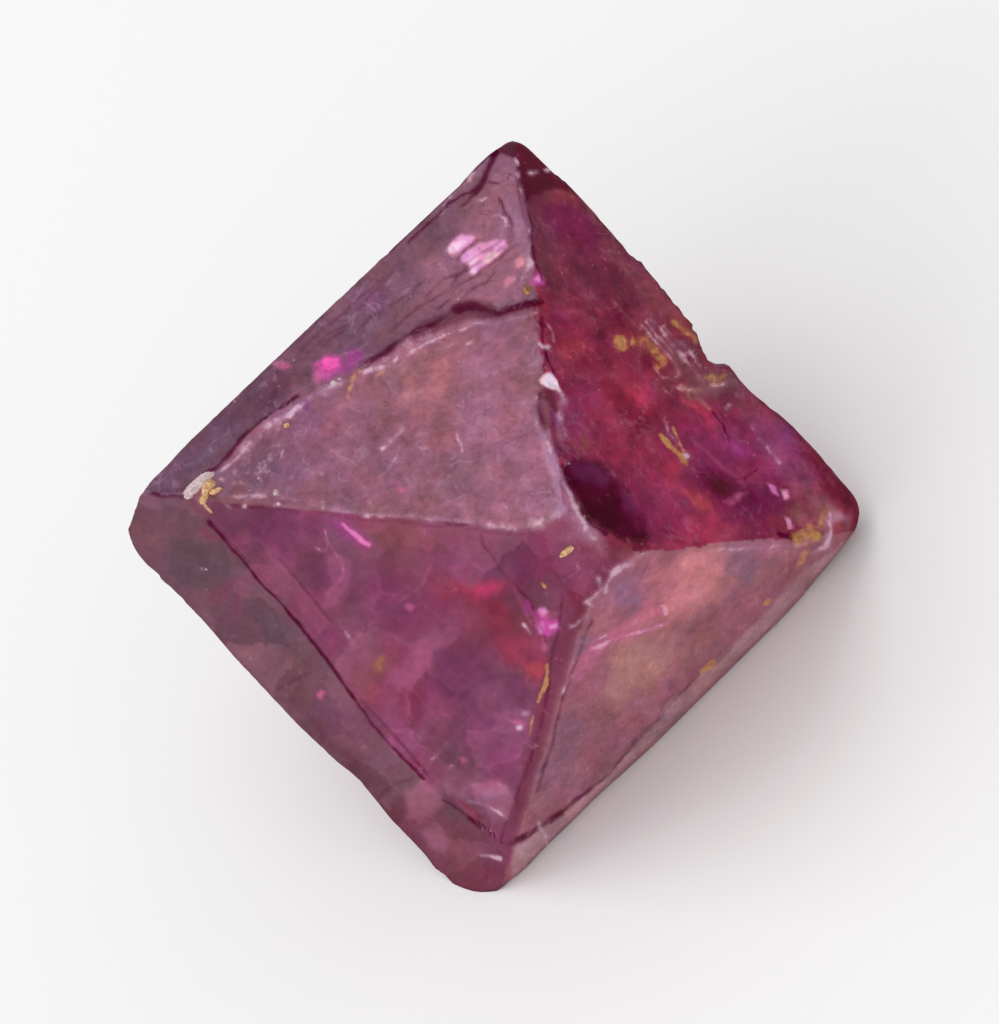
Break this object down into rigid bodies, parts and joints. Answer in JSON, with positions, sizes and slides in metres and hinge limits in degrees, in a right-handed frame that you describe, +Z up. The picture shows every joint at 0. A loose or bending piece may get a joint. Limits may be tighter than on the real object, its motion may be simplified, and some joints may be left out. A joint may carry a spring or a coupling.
{
  "type": "spinel crystal",
  "caption": "Loose natural octahedral gem crystal lying on one face, with stepped growth faces, blunt worn corners, a broken nose and a corroded face.",
  "frame": {"origin": "on the face that the crystal lies on, straight below the middle of the octahedron", "axes": "+Z up, square to the rest face and to the face opposite it; -Y towards the corner that the picture looks at"},
  "size_m": [0.0122, 0.0132, 0.0102],
  "materials": {
    "spinel": "translucent mauve to deep pink-red, glossy on grown faces and frosted where worn"
  },
  "bodies": {
    "root": {"spinel_crystal": "spinel"}
  },
  "joints": []
}
